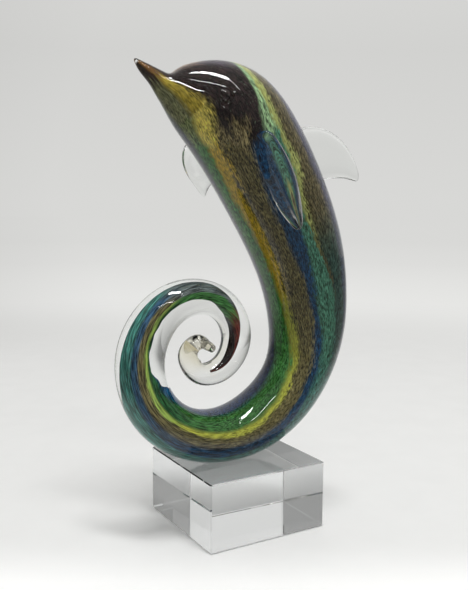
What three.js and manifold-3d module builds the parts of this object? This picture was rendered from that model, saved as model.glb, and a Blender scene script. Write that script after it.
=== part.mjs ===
// A solid glass dolphin that rises from its coiled tail, cemented on a square block of clear crystal.
// Millimetres, +Z up, with the origin at the middle of the block's underside. The beak points to -X and
// the near flank faces -Y. Body, fins and flukes are hot-worked from one gather, so they are one solid.
import * as THREE from "three";
import { mergeVertices } from "three/addons/utils/BufferGeometryUtils.js";
import Module from "manifold-3d";

// Driving sizes: the crystal block, the cement on it, and the figure's height above the block
const blockSide = 80;
const blockHeight = 41;
const blockBevel = 0.6;
const cementGap = 0.3;
const figureHeight = 241;
const figureForward = 7;

// The figure's proportions are hundredths of its height, so one part is this many millimetres
const part = figureHeight / 100;

// Rings from the tip of the beak to the start of the coil. Each row gives the ring's middle (x, and z
// above the block), the way its back faces in degrees from +X, its half depth and its half width.
const upperRings = [
  [-28.5, 97.9, 47, 0.4, 0.5],
  [-27.0, 96.7, 47, 1.1, 1.2],
  [-23.2, 94.2, 48, 2.2, 2.5],
  [-21.6, 93.2, 54, 3.0, 3.3],
  [-19.9, 93.0, 61, 4.5, 4.5],
  [-17.6, 92.6, 63, 6.4, 6.1],
  [-12.2, 91.3, 57, 9.9, 9.4],
  [-5.2, 87.7, 47, 12.5, 12.0],
  [1.5, 80.5, 38, 13.2, 13.0],
  [10.4, 66.4, 29, 12.9, 12.9],
  [16.4, 53.8, 20, 12.1, 12.1],
  [19.7, 40.4, 5.5, 10.9, 10.9],
];

// The coil: a spiral that closes by a steady share of its reach, with the tube's girth at each quarter.
// A quarter turn in, the tube's underside clears the block by the lift, so the coil rests just before it.
const coilForward = -11.2;
const coilLift = 1.39;
const coilStart = -8;
const coilReach = 29.0;
const coilClosing = 0.22;
const coilInnerReach = 1.7;
const coilTurn = 450;
const coilRingTurn = 30;
const coilGirths = [9.7, 7.0, 6.2, 4.5, 3.9, 2.9];

// Rings past the coil, where the tail curls over, flattens and ends between its flukes. Their places are
// from the coil's middle, and the back has turned by more than a full turn, so its degrees run on.
const tailRings = [
  [-3.4, -4.5, -507, 2.6, 2.6],
  [-4.3, -1.5, -548, 2.4, 2.4],
  [-2.7, 0.7, -593, 2.1, 2.3],
  [-0.7, 1.2, -630, 1.8, 2.5],
  [0.3, 0.7, -655, 1.4, 2.6],
];

// How finely the rings are set: the stretch along the body, in parts, and the step within it
const ringSides = 32;
const ringSteps = [
  { until: 30, step: 1.6 },
  { until: 108, step: 5.5 },
  { until: 205, step: 3.3 },
  { until: Infinity, step: 1.4 },
];

// Relief on each cheek: places are parts along the body and degrees round it from the back
const eye = { along: 20.2, round: 92, radius: 2.4, sunk: 1.85, sides: 14, rows: 10 };
const crease = {
  from: 5.0,
  to: 15.6,
  roundFrom: 70,
  roundTo: 94,
  halfWidth: 1.2,
  bite: 0.6,
  bow: 1.7,
  pointedEnd: 0.06,
  bluntness: 8,
  steps: 12,
  sides: 12,
};

// Fins, from root to tip. Leading and trailing edges are given as [x, y, z] for the back fin and, from
// the coil's middle, for the flukes. A flipper's are parts along the body, degrees round it and parts
// off its skin.
const backFin = {
  leading: [
    [12, 0, 82.5], [18.5, 0, 85.2], [24.5, 0, 85.1],
    [30.4, 0, 82.4], [34.9, 0, 77.4], [36.9, 0, 73.1],
  ],
  trailing: [
    [17.5, 0, 70], [23, 0, 71.4], [28, 0, 72.2],
    [32, 0, 72.2], [34.8, 0, 71.7], [36.5, 0, 71.5],
  ],
  thickness: [2.6, 2.3, 2.0, 1.8, 1.5, 0.8],
};
const nearFlipper = {
  leading: [
    [33, 104, -3.5], [33.7, 100, 1.5], [37.8, 102, 4],
    [43.2, 104, 6], [49.2, 108, 7.4], [55, 112, 8],
  ],
  trailing: [
    [37, 116, -3.5], [39, 118, 0.1], [45.8, 121, 1.5],
    [50.8, 121, 3.6], [54, 118, 5.8], [55.8, 116, 7.5],
  ],
  thickness: [2.4, 2.2, 2.1, 1.9, 1.6, 0.8],
};
const farFlipper = {
  leading: [
    [27.5, -120, -3.5], [28.4, -122, 3.3], [31, -124, 5.6],
    [35, -124, 7], [41, -118, 8.4], [45.6, -114, 9],
  ],
  trailing: [
    [37, -112, -3.5], [39.5, -112, 0.5], [42, -112, 3],
    [43.4, -113, 5], [44.6, -113, 6.8], [46.2, -113, 8.6],
  ],
  thickness: [2.4, 2.2, 2.1, 1.9, 1.6, 0.8],
};
const nearFluke = {
  leading: [[-2.0, 0.6, 1.9], [-1.1, -1.8, 2.3], [-0.2, -4.2, 1.8], [0.2, -6.2, 0.9]],
  trailing: [[-1.6, 0.4, -0.3], [-1.0, -1.6, -0.2], [-0.8, -4.0, -0.5], [-0.7, -5.9, -0.6]],
  thickness: [2.4, 2.3, 2.2, 1.2],
};
const farFluke = {
  leading: [[-2.4, -0.6, 2.0], [-2.6, 1.8, 1.4], [-2.4, 4.6, -0.8], [-1.6, 6.8, -2.8]],
  trailing: [[-1.4, -0.4, -0.2], [0.0, 1.6, 0.0], [0.6, 4.2, -2.2], [0.0, 6.4, -4.0]],
  thickness: [2.4, 2.3, 2.2, 1.2],
};
const finSides = 14;
const finSteps = 9;
const finTangentStep = 0.02;
const mergeDistance = 1e-4;

const wasm = await Module();
wasm.setup();

// A natural cubic spline through rows of numbers that sit at the given knots
function splineThrough(knots, rows) {
  const last = knots.length - 1;
  const columns = rows[0].length;
  const bends = rows.map(() => new Array(columns).fill(0));
  const ratios = new Array(last + 1).fill(0);
  for (let i = 1; i < last; i++) {
    const before = knots[i] - knots[i - 1];
    const after = knots[i + 1] - knots[i];
    const pivot = 2 * (before + after) - before * ratios[i - 1];
    ratios[i] = after / pivot;
    for (let c = 0; c < columns; c++) {
      const rise = (rows[i + 1][c] - rows[i][c]) / after - (rows[i][c] - rows[i - 1][c]) / before;
      bends[i][c] = (6 * rise - before * bends[i - 1][c]) / pivot;
    }
  }
  for (let i = last - 1; i > 0; i--) {
    bends[i] = bends[i].map((bend, c) => bend - ratios[i] * bends[i + 1][c]);
  }
  return (place) => {
    const i = Math.max(0, Math.min(last - 1, knots.findIndex((knot) => knot >= place) - 1));
    const span = knots[i + 1] - knots[i];
    const fore = place - knots[i];
    const aft = knots[i + 1] - place;
    return rows[i].map((value, c) => {
      const curve = (bends[i][c] * aft ** 3 + bends[i + 1][c] * fore ** 3) / (6 * span);
      const low = value / span - (bends[i][c] * span) / 6;
      const high = rows[i + 1][c] / span - (bends[i + 1][c] * span) / 6;
      return curve + low * aft + high * fore;
    });
  };
}

// How far the tube is from the coil's middle, so many degrees past its start
function coilShrink(turn) {
  return coilReach * Math.exp(-coilClosing * THREE.MathUtils.degToRad(turn));
}

// The coil's middle stands above the block by what the tube reaches down a quarter turn in
const quarterFall = (coilShrink(90) + coilInnerReach) * Math.cos(THREE.MathUtils.degToRad(coilStart));
const coilHeight = quarterFall + coilGirths[1] + coilLift;

// A ring on the coil, so many degrees past its start
function coilRing(turn) {
  const angle = THREE.MathUtils.degToRad(coilStart - turn);
  const shrink = coilShrink(turn);
  const reach = shrink + coilInnerReach;
  const x = coilForward + reach * Math.cos(angle);
  const z = coilHeight + reach * Math.sin(angle);
  const slant = THREE.MathUtils.radToDeg(Math.atan2(coilClosing * shrink, reach));
  const quarter = turn / 90;
  const index = Math.min(Math.floor(quarter), coilGirths.length - 2);
  const girth = THREE.MathUtils.lerp(coilGirths[index], coilGirths[index + 1], quarter - index);
  return [x, z, coilStart - turn + slant, girth, girth];
}

// Every ring in order, with how far along the body each one is
function bodySpline() {
  const rows = upperRings.map((row) => [...row]);
  for (let turn = 0; turn <= coilTurn; turn += coilRingTurn) {
    rows.push(coilRing(turn));
  }
  for (const [x, z, ...rest] of tailRings) {
    rows.push([coilForward + x, coilHeight + z, ...rest]);
  }
  const knots = [0];
  for (let i = 1; i < rows.length; i++) {
    const step = Math.hypot(rows[i][0] - rows[i - 1][0], rows[i][1] - rows[i - 1][1]);
    knots.push(knots[i - 1] + step);
  }
  return { length: knots[knots.length - 1], at: splineThrough(knots, rows) };
}

const body = bodySpline();

// A point on the skin, or off it by some parts, in millimetres
function skinPoint(along, round, off = 0) {
  const [x, z, lean, depth, width] = body.at(along);
  const turn = THREE.MathUtils.degToRad(round);
  const back = THREE.MathUtils.degToRad(lean);
  const up = (depth + off) * Math.cos(turn);
  const out = (width + off) * Math.sin(turn);
  return new THREE.Vector3(x + up * Math.cos(back), -out, z + up * Math.sin(back)).multiplyScalar(part);
}

// Joins rings of equal count into one closed body with flat ends and its faces out
function loft(rings) {
  const sides = rings[0].length;
  const index = [];
  for (let i = 0; i < rings.length - 1; i++) {
    for (let k = 0; k < sides; k++) {
      const a = i * sides + k;
      const b = i * sides + ((k + 1) % sides);
      index.push(a, b, a + sides, b, b + sides, a + sides);
    }
  }
  const end = (rings.length - 1) * sides;
  for (let k = 1; k < sides - 1; k++) {
    index.push(0, k + 1, k, end, end + k, end + k + 1);
  }
  const points = rings.flat();
  let volume = 0;
  for (let i = 0; i < index.length; i += 3) {
    const [a, b, c] = [points[index[i]], points[index[i + 1]], points[index[i + 2]]];
    volume += a.dot(new THREE.Vector3().crossVectors(b, c));
  }
  if (volume < 0) {
    index.reverse();
  }
  const geometry = new THREE.BufferGeometry().setFromPoints(points);
  geometry.setIndex(index);
  return geometry;
}

function bodyGeometry() {
  const places = [0];
  for (const { until, step } of ringSteps) {
    const stop = Math.min(until, body.length);
    const count = Math.round((stop - places[places.length - 1]) / step);
    const start = places[places.length - 1];
    for (let i = 1; i <= count; i++) {
      places.push(start + ((stop - start) * i) / count);
    }
  }
  const angles = Array.from({ length: ringSides }, (_, k) => (360 * k) / ringSides);
  return loft(places.map((place) => angles.map((angle) => skinPoint(place, angle))));
}

// A fin: lens-shaped sections between its two edges, which run from the root to the tip
function finGeometry(leading, trailing, thickness) {
  const lead = new THREE.CatmullRomCurve3(leading);
  const trail = new THREE.CatmullRomCurve3(trailing);
  const middle = (u) => lead.getPoint(u).add(trail.getPoint(u)).multiplyScalar(0.5);
  const rings = [];
  for (let i = 0; i <= finSteps; i++) {
    const u = i / finSteps;
    const half = lead.getPoint(u).sub(trail.getPoint(u)).multiplyScalar(0.5);
    const span = middle(Math.min(1, u + finTangentStep)).sub(middle(Math.max(0, u - finTangentStep)));
    const place = u * (thickness.length - 1);
    const index = Math.min(Math.floor(place), thickness.length - 2);
    const full = THREE.MathUtils.lerp(thickness[index], thickness[index + 1], place - index);
    const across = new THREE.Vector3().crossVectors(half, span).setLength((full * part) / 2);
    const ring = [];
    for (let k = 0; k < finSides; k++) {
      const turn = (2 * Math.PI * k) / finSides;
      const point = middle(u).addScaledVector(half, Math.cos(turn)).addScaledVector(across, Math.sin(turn));
      ring.push(point);
    }
    rings.push(ring);
  }
  return loft(rings);
}

// A fin whose places are from a point [x, z] in the middle plane
function freeFin(fin, [fromX, fromZ]) {
  const place = ([x, y, z]) => new THREE.Vector3(fromX + x, y, fromZ + z).multiplyScalar(part);
  return finGeometry(fin.leading.map(place), fin.trailing.map(place), fin.thickness);
}

function flipper(fin) {
  const place = (row) => skinPoint(...row);
  return finGeometry(fin.leading.map(place), fin.trailing.map(place), fin.thickness);
}

// A glass bead pressed into the cheek, on the side that sign gives
function eyeGeometry(sign) {
  const geometry = new THREE.SphereGeometry(eye.radius * part, eye.sides, eye.rows);
  const middle = skinPoint(eye.along, sign * eye.round, -eye.sunk);
  return geometry.translate(middle.x, middle.y, middle.z);
}

// The long hollow that the jacks press into the side of the beak, as the solid that is cut away
function creaseGeometry(sign) {
  const rings = [];
  for (let i = 0; i <= crease.steps; i++) {
    const u = i / crease.steps;
    const shape = Math.sqrt(u * (1 - u ** crease.bluntness));
    const swell = THREE.MathUtils.lerp(crease.pointedEnd, 1, shape);
    const along = THREE.MathUtils.lerp(crease.from, crease.to, u);
    const round = THREE.MathUtils.lerp(crease.roundFrom, crease.roundTo, u);
    const [, , , depth, width] = body.at(along);
    const degrees = THREE.MathUtils.radToDeg((2 * crease.halfWidth * swell) / (depth + width));
    const ring = [];
    for (let k = 0; k < crease.sides; k++) {
      const turn = (2 * Math.PI * k) / crease.sides;
      const off = (crease.bow * (1 + Math.sin(turn)) - crease.bite) * swell;
      ring.push(skinPoint(along, sign * (round + degrees * Math.cos(turn)), off));
    }
    rings.push(ring);
  }
  return loft(rings);
}

function solidOf(geometry) {
  const bare = geometry.clone();
  bare.deleteAttribute("normal");
  bare.deleteAttribute("uv");
  const merged = mergeVertices(bare, mergeDistance);
  return new wasm.Manifold(new wasm.Mesh({
    numProp: 3,
    vertProperties: new Float32Array(merged.attributes.position.array),
    triVerts: new Uint32Array(merged.index.array),
  }));
}

function geometryOf(solid) {
  const mesh = solid.getMesh();
  const geometry = new THREE.BufferGeometry();
  geometry.setAttribute("position", new THREE.BufferAttribute(mesh.vertProperties, 3));
  geometry.setIndex(new THREE.BufferAttribute(mesh.triVerts, 1));
  geometry.computeVertexNormals();
  return geometry;
}

// The whole figure, with a small ground flat where it is cemented to the block
function dolphinGeometry() {
  const coilMiddle = [coilForward, coilHeight];
  const fins = [freeFin(backFin, [0, 0]), flipper(nearFlipper), flipper(farFlipper)];
  const flukes = [freeFin(nearFluke, coilMiddle), freeFin(farFluke, coilMiddle)];
  let solid = solidOf(bodyGeometry());
  for (const geometry of [...fins, ...flukes, eyeGeometry(1), eyeGeometry(-1)]) {
    solid = solid.add(solidOf(geometry));
  }
  for (const sign of [1, -1]) {
    solid = solid.subtract(solidOf(creaseGeometry(sign)));
  }
  const ground = new THREE.BoxGeometry(figureHeight, figureHeight, figureHeight);
  ground.translate(0, 0, cementGap - figureHeight / 2);
  return geometryOf(solid.subtract(solidOf(ground)));
}

// A square block whose edges are all bevelled
function blockGeometry() {
  const flat = blockSide / 2 - blockBevel;
  const corner = flat - blockBevel;
  const outline = new THREE.Shape();
  outline.moveTo(flat, -corner);
  outline.lineTo(flat, corner);
  outline.lineTo(corner, flat);
  outline.lineTo(-corner, flat);
  outline.lineTo(-flat, corner);
  outline.lineTo(-flat, -corner);
  outline.lineTo(-corner, -flat);
  outline.lineTo(corner, -flat);
  const geometry = new THREE.ExtrudeGeometry(outline, {
    depth: blockHeight - 2 * blockBevel,
    bevelEnabled: true,
    bevelSize: blockBevel,
    bevelThickness: blockBevel,
    bevelSegments: 1,
  });
  return geometry.translate(0, 0, blockBevel);
}

const colouredGlass = new THREE.MeshStandardMaterial({ color: 0x4a5d46, roughness: 0.04, metalness: 0 });
const clearCrystal = new THREE.MeshStandardMaterial({
  color: 0xdfe5e5,
  roughness: 0.03,
  metalness: 0,
  transparent: true,
  opacity: 0.45,
});

const sculpture = new THREE.Group();

const crystalBlock = new THREE.Mesh(blockGeometry(), clearCrystal);
crystalBlock.name = "crystal_block";
sculpture.add(crystalBlock);

const dolphin = new THREE.Mesh(dolphinGeometry(), colouredGlass);
dolphin.name = "dolphin";
dolphin.position.set(0, -figureForward, blockHeight);
sculpture.add(dolphin);

export default sculpture;
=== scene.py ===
"""Looks of the glass dolphin: a coloured core sealed in clear glass, on a clear crystal block."""

import math

import bmesh
import bpy
import numpy as np
from mathutils import Matrix, Vector, noise
from mathutils.bvhtree import BVHTree


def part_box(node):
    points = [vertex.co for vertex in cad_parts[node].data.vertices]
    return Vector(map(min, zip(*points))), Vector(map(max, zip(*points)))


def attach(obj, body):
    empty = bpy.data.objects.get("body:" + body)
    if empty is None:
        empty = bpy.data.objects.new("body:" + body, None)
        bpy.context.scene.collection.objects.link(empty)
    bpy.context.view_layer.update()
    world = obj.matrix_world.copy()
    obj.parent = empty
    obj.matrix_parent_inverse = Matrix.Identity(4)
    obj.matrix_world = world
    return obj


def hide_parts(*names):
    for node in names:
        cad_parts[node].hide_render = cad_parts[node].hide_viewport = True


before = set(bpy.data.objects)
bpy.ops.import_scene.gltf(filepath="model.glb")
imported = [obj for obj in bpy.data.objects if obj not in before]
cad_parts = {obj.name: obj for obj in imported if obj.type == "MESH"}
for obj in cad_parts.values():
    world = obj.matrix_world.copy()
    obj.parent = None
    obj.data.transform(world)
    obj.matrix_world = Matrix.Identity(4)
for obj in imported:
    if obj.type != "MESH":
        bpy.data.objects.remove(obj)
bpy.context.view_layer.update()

# Metres. The figure's proportions are hundredths of its height, so one part is this long
FIGURE_HEIGHT = 0.241
PART = FIGURE_HEIGHT / 100
FIGURE_FORWARD = 0.007
CEMENT_GAP = 0.0003
BLOCK_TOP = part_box("crystal_block")[1][2]
ORIGIN = np.array([0.0, -FIGURE_FORWARD, BLOCK_TOP])

# The camera, fitted to the corners of the block in the photo
CAMERA_EYE = (-0.24079, -0.40701, 0.20231)
CAMERA_AZIMUTH = -0.53112
CAMERA_PITCH = 0.12526
CAMERA_ROLL = 0.00359
CAMERA_LENS = 47.0


def make_camera():
    data = bpy.data.cameras.new("photo_camera")
    data.lens = CAMERA_LENS
    camera = bpy.data.objects.new("photo_camera", data)
    turn = Matrix.Rotation(CAMERA_AZIMUTH, 4, "Z") @ Matrix.Rotation(math.pi / 2 - CAMERA_PITCH, 4, "X")
    turn = turn @ Matrix.Rotation(CAMERA_ROLL, 4, "Z")
    camera.matrix_world = Matrix.Translation(CAMERA_EYE) @ turn
    bpy.context.scene.collection.objects.link(camera)
    bpy.context.scene.camera = camera


# Lights run as narrow strips through these directions. They come first, as marks on the head mirror them
LIGHT_DISTANCE = 2.0
LIGHT_TARGET = Vector((0, 0, 0.2))
TOP_CHAIN = [(-0.13, -0.05, 0.99), (-0.04, -0.16, 0.99), (0.05, -0.30, 0.95), (0.14, -0.42, 0.89)]
SIDE_CHAIN = [(0.14, -0.42, 0.89), (0.20, -0.57, 0.80), (0.22, -0.66, 0.70)]
FRONT_CHAIN = [(-0.36, -0.48, 0.80), (-0.08, -0.66, 0.74), (0.10, -0.78, 0.62)]
# Each strip's directions, width and radiance
STRIPS = {
    "top_strip": (TOP_CHAIN, 0.22, 34.0),
    "side_strip": (SIDE_CHAIN, 0.05, 11.0),
    "front_strip": (FRONT_CHAIN, 0.06, 18.0),
}

# The form has the solid's named sizes and is set much finer. A ring is the x and z of its middle, on
# the tail from the coil's, the degrees above +X that its back points, and its half depth and width
UPPER_RINGS = [
    (-28.5, 97.9, 47, 0.4, 0.5),
    (-27.0, 96.7, 47, 1.1, 1.2),
    (-23.2, 94.2, 48, 2.2, 2.5),
    (-21.6, 93.2, 54, 3.0, 3.3),
    (-19.9, 93.0, 61, 4.5, 4.5),
    (-17.6, 92.6, 63, 6.4, 6.1),
    (-12.2, 91.3, 57, 9.9, 9.4),
    (-5.2, 87.7, 47, 12.5, 12.0),
    (1.5, 80.5, 38, 13.2, 13.0),
    (10.4, 66.4, 29, 12.9, 12.9),
    (16.4, 53.8, 20, 12.1, 12.1),
    (19.7, 40.4, 5.5, 10.9, 10.9),
]
COIL_FORWARD = -11.2
COIL_LIFT = 1.39
COIL_START = -8
COIL_REACH = 29.0
COIL_CLOSING = 0.22
COIL_INNER_REACH = 1.7
COIL_TURN = 450
COIL_RING_TURN = 30
COIL_GIRTHS = [9.7, 7.0, 6.2, 4.5, 3.9, 2.9]
TAIL_RINGS = [
    (-3.4, -4.5, -507, 2.6, 2.6),
    (-4.3, -1.5, -548, 2.4, 2.4),
    (-2.7, 0.7, -593, 2.1, 2.3),
    (-0.7, 1.2, -630, 1.8, 2.5),
    (0.3, 0.7, -655, 1.4, 2.6),
]


def coil_shrink(turn):
    return COIL_REACH * math.exp(-COIL_CLOSING * math.radians(turn))


QUARTER_FALL = (coil_shrink(90) + COIL_INNER_REACH) * math.cos(math.radians(COIL_START))
COIL_HEIGHT = QUARTER_FALL + COIL_GIRTHS[1] + COIL_LIFT


def coil_ring(turn):
    """A ring on the coil, so many degrees past its start."""
    angle = math.radians(COIL_START - turn)
    shrink = coil_shrink(turn)
    reach = shrink + COIL_INNER_REACH
    slant = math.degrees(math.atan2(COIL_CLOSING * shrink, reach))
    girth = float(np.interp(turn / 90, range(len(COIL_GIRTHS)), COIL_GIRTHS))
    x = COIL_FORWARD + reach * math.cos(angle)
    z = COIL_HEIGHT + reach * math.sin(angle)
    return (x, z, COIL_START - turn + slant, girth, girth)


def spline_through(knots, rows):
    """A natural cubic spline through rows of numbers at the knots, as a function of an array."""
    gaps = np.diff(knots)
    slopes = np.diff(rows, axis=0) / gaps[:, None]
    last = len(knots) - 1
    system = np.eye(last + 1)
    bends = np.zeros_like(rows)
    for i in range(1, last):
        system[i, i - 1 : i + 2] = gaps[i - 1], 2 * (gaps[i - 1] + gaps[i]), gaps[i]
        bends[i] = 6 * (slopes[i] - slopes[i - 1])
    bends = np.linalg.solve(system, bends)

    def at(place):
        place = np.atleast_1d(np.asarray(place, float))
        i = np.clip(np.searchsorted(knots, place) - 1, 0, last - 1)
        span = gaps[i][:, None]
        fore = (place - knots[i])[:, None]
        aft = (knots[i + 1] - place)[:, None]
        curve = (bends[i] * aft**3 + bends[i + 1] * fore**3) / (6 * span)
        low = rows[i] / span - bends[i] * span / 6
        high = rows[i + 1] / span - bends[i + 1] * span / 6
        return curve + low * aft + high * fore

    return at


def body_spline():
    """The body's rings in order, with how far along the body each one is."""
    turns = range(0, COIL_TURN + 1, COIL_RING_TURN)
    rows = list(UPPER_RINGS)
    rows += [coil_ring(turn) for turn in turns]
    rows += [(COIL_FORWARD + x, COIL_HEIGHT + z, *rest) for x, z, *rest in TAIL_RINGS]
    rows = np.array(rows, float)
    steps = np.hypot(*np.diff(rows[:, :2], axis=0).T)
    knots = np.concatenate([[0.0], np.cumsum(steps)])
    coil_knots = knots[len(UPPER_RINGS) : len(UPPER_RINGS) + len(turns)]
    return spline_through(knots, rows), knots[-1], (list(turns), coil_knots)


body_at, BODY_LENGTH, COIL_PLACES = body_spline()


def along_of_turn(turn):
    """How far along the body a turn of the coil is, in parts."""
    return float(np.interp(turn, *COIL_PLACES))


def skin_points(along, round_, off=0.0, share=1.0, shift=0.0):
    """Points round the body, in metres.

    along is in parts and round_ in degrees from the back. off lifts a point from the skin by some
    parts, share shrinks the ring, and shift moves it towards the back by a share of its depth."""
    along, round_, off, share, shift = np.broadcast_arrays(along, round_, off, share, shift)
    x, z, lean, depth, width = body_at(along.ravel()).T.reshape(5, *along.shape)
    turn, back = np.radians(round_), np.radians(lean)
    up = (depth * share + off) * np.cos(turn) + depth * shift
    out = (width * share + off) * np.sin(turn)
    points = np.stack([x + up * np.cos(back), -out, z + up * np.sin(back)], axis=-1)
    return points * PART + ORIGIN


def new_object(name, points, faces):
    """A smooth-shaded object from points and faces, linked to the scene."""
    mesh = bpy.data.meshes.new(name)
    mesh.from_pydata(np.asarray(points).tolist(), [], faces)
    mesh.update()
    mesh.shade_smooth()
    piece = bpy.data.objects.new(name, mesh)
    bpy.context.scene.collection.objects.link(piece)
    return piece


def faces_between(pairs, sides):
    """Faces between pairs of rings, each given by the number of its first point."""
    return [
        (low + k, low + (k + 1) % sides, high + (k + 1) % sides, high + k)
        for low, high in pairs
        for k in range(sides)
    ]


def loft(name, rings, poles=None):
    """A closed body through rings of equal count, ended by a point at each end."""
    rings = np.asarray(rings)
    count, sides = rings.shape[:2]
    if poles is None:
        poles = rings[0].mean(axis=0), rings[-1].mean(axis=0)
    points = np.concatenate([rings.reshape(-1, 3), poles])
    first, last = len(points) - 2, len(points) - 1
    faces = faces_between([(i * sides, (i + 1) * sides) for i in range(count - 1)], sides)
    end = (count - 1) * sides
    for k in range(sides):
        after = (k + 1) % sides
        faces.append((after, k, first))
        faces.append((end + k, end + after, last))
    piece = new_object(name, points, faces)
    face_outwards(piece)
    return piece


def face_outwards(piece):
    """Turns a closed mesh's faces out if they face in."""
    form = bmesh.new()
    form.from_mesh(piece.data)
    if form.calc_volume(signed=True) < 0:
        piece.data.flip_normals()
    form.free()


# The skin: its sides, and until how far along the body it has which step
SKIN_SIDES = 112
SKIN_STEPS = [(0.5, 0.1), (30, 0.36), (108, 0.8), (205, 0.7), (BODY_LENGTH, 0.36)]
TIP_ROUNDING = 0.35


def spaced(steps):
    """Places along the body: each step size holds until its own place."""
    places = [0.0]
    for until, step in steps:
        start = places[-1]
        count = max(1, round((until - start) / step))
        places += [start + (until - start) * i / count for i in range(1, count + 1)]
    return np.array(places)


def make_skin():
    """The body without its fins, from the tip of the beak to the end of the coil."""
    places = spaced(SKIN_STEPS)
    angles = np.arange(SKIN_SIDES) * 360 / SKIN_SIDES
    rings = skin_points(places[:, None], angles[None, :])

    def pole(end, inner):
        middle = end.mean(axis=0)
        ahead = middle - inner.mean(axis=0)
        return middle + ahead / np.linalg.norm(ahead) * TIP_ROUNDING * PART

    return loft("dolphin_glass", rings, (pole(rings[0], rings[2]), pole(rings[-1], rings[-3])))


# Fins, from root to tip. Leading and trailing edges are given as [x, y, z] for the back fin and, from
# the coil's middle, for the flukes. A flipper's are parts along the body, degrees round it and parts
# off its skin. A low flatness gives the sections fuller edges, hollow thins their middle, and root_end
# is the share of the length over which the root is rounded off
BACK_FIN = {
    "leading": [
        (12, 0, 82.5), (18.5, 0, 85.2), (24.5, 0, 85.1),
        (30.4, 0, 82.4), (34.9, 0, 77.4), (36.9, 0, 73.1),
    ],
    "trailing": [
        (17.5, 0, 70), (23, 0, 71.4), (28, 0, 72.2),
        (32, 0, 72.2), (34.8, 0, 71.7), (36.5, 0, 71.5),
    ],
    "thickness": [2.6, 2.3, 2.0, 1.8, 1.5, 0.8],
    "fillet": 0.0022,
    "flatness": 0.72,
}
NEAR_FLIPPER = {
    "leading": [
        (31.2, 103, 0.0), (32.4, 95, 1.4), (36.8, 96, 3.2),
        (43.2, 101, 5.6), (49.2, 107, 7.2), (55, 112, 8),
    ],
    "trailing": [
        (32.0, 108, 0.0), (37.0, 119, 0.2), (44.8, 122, 1.6),
        (50.4, 121, 3.6), (54, 118, 5.8), (55.8, 116, 7.5),
    ],
    "thickness": [3.0, 3.8, 3.8, 3.4, 2.9, 1.8],
    "flatness": 0.8,
    "root_end": 0.1,
    "hollow": 0.6,
}
FAR_FLIPPER = {
    "leading": [
        (27.5, -120, -3.5), (28.4, -122, 3.3), (31, -124, 5.6),
        (35, -124, 7), (41, -118, 8.4), (45.6, -114, 9),
    ],
    "trailing": [
        (37, -112, -3.5), (39.5, -112, 0.5), (42, -112, 3),
        (43.4, -113, 5), (44.6, -113, 6.8), (46.2, -113, 8.6),
    ],
    "thickness": [2.4, 2.2, 2.1, 1.9, 1.6, 0.8],
    "fillet": 0.0003,
    "flatness": 1.0,
}
NEAR_FLUKE = {
    "leading": [(-2.0, 0.6, 1.9), (-1.1, -1.8, 2.3), (-0.2, -4.2, 1.8), (0.2, -6.2, 0.9)],
    "trailing": [(-1.6, 0.4, -0.3), (-1.0, -1.6, -0.2), (-0.8, -4.0, -0.5), (-0.7, -5.9, -0.6)],
    "thickness": [2.4, 2.3, 2.2, 1.2],
    "flatness": 1.0,
}
FAR_FLUKE = {
    "leading": [(-2.4, -0.6, 2.0), (-2.6, 1.8, 1.4), (-2.4, 4.6, -0.8), (-1.6, 6.8, -2.8)],
    "trailing": [(-1.4, -0.4, -0.2), (0.0, 1.6, 0.0), (0.6, 4.2, -2.2), (0.0, 6.4, -4.0)],
    "thickness": [2.4, 2.3, 2.2, 1.2],
    "flatness": 1.0,
}
FIN_SIDES = 40
FIN_STEPS = 64
FIN_TIP_START = 0.93
# Shares of a fin's thickness and breadth that are left at a rounded end
END_THICKNESS = 0.15
END_BREADTH = 0.25
# A fin's direction is taken between places this share of its length before and after
FIN_REACH = 0.02


def catmull_rom(points, u):
    """A centripetal Catmull-Rom curve through points, at u from 0 to 1."""
    points = np.asarray(points, float)
    padded = np.vstack([2 * points[0] - points[1], points, 2 * points[-1] - points[-2]])
    place = u * (len(points) - 1)
    i = min(int(place), len(points) - 2)
    w = place - i
    a, b, c, d = padded[i : i + 4]
    before, between, after = (math.sqrt(np.linalg.norm(q - p)) for p, q in ((a, b), (b, c), (c, d)))
    leave = ((b - a) / before - (c - a) / (before + between) + (c - b) / between) * between
    arrive = ((c - b) / between - (d - b) / (between + after) + (d - c) / after) * between
    return (
        b
        + leave * w
        + (3 * (c - b) - 2 * leave - arrive) * w**2
        + (2 * (b - c) + leave + arrive) * w**3
    )


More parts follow.
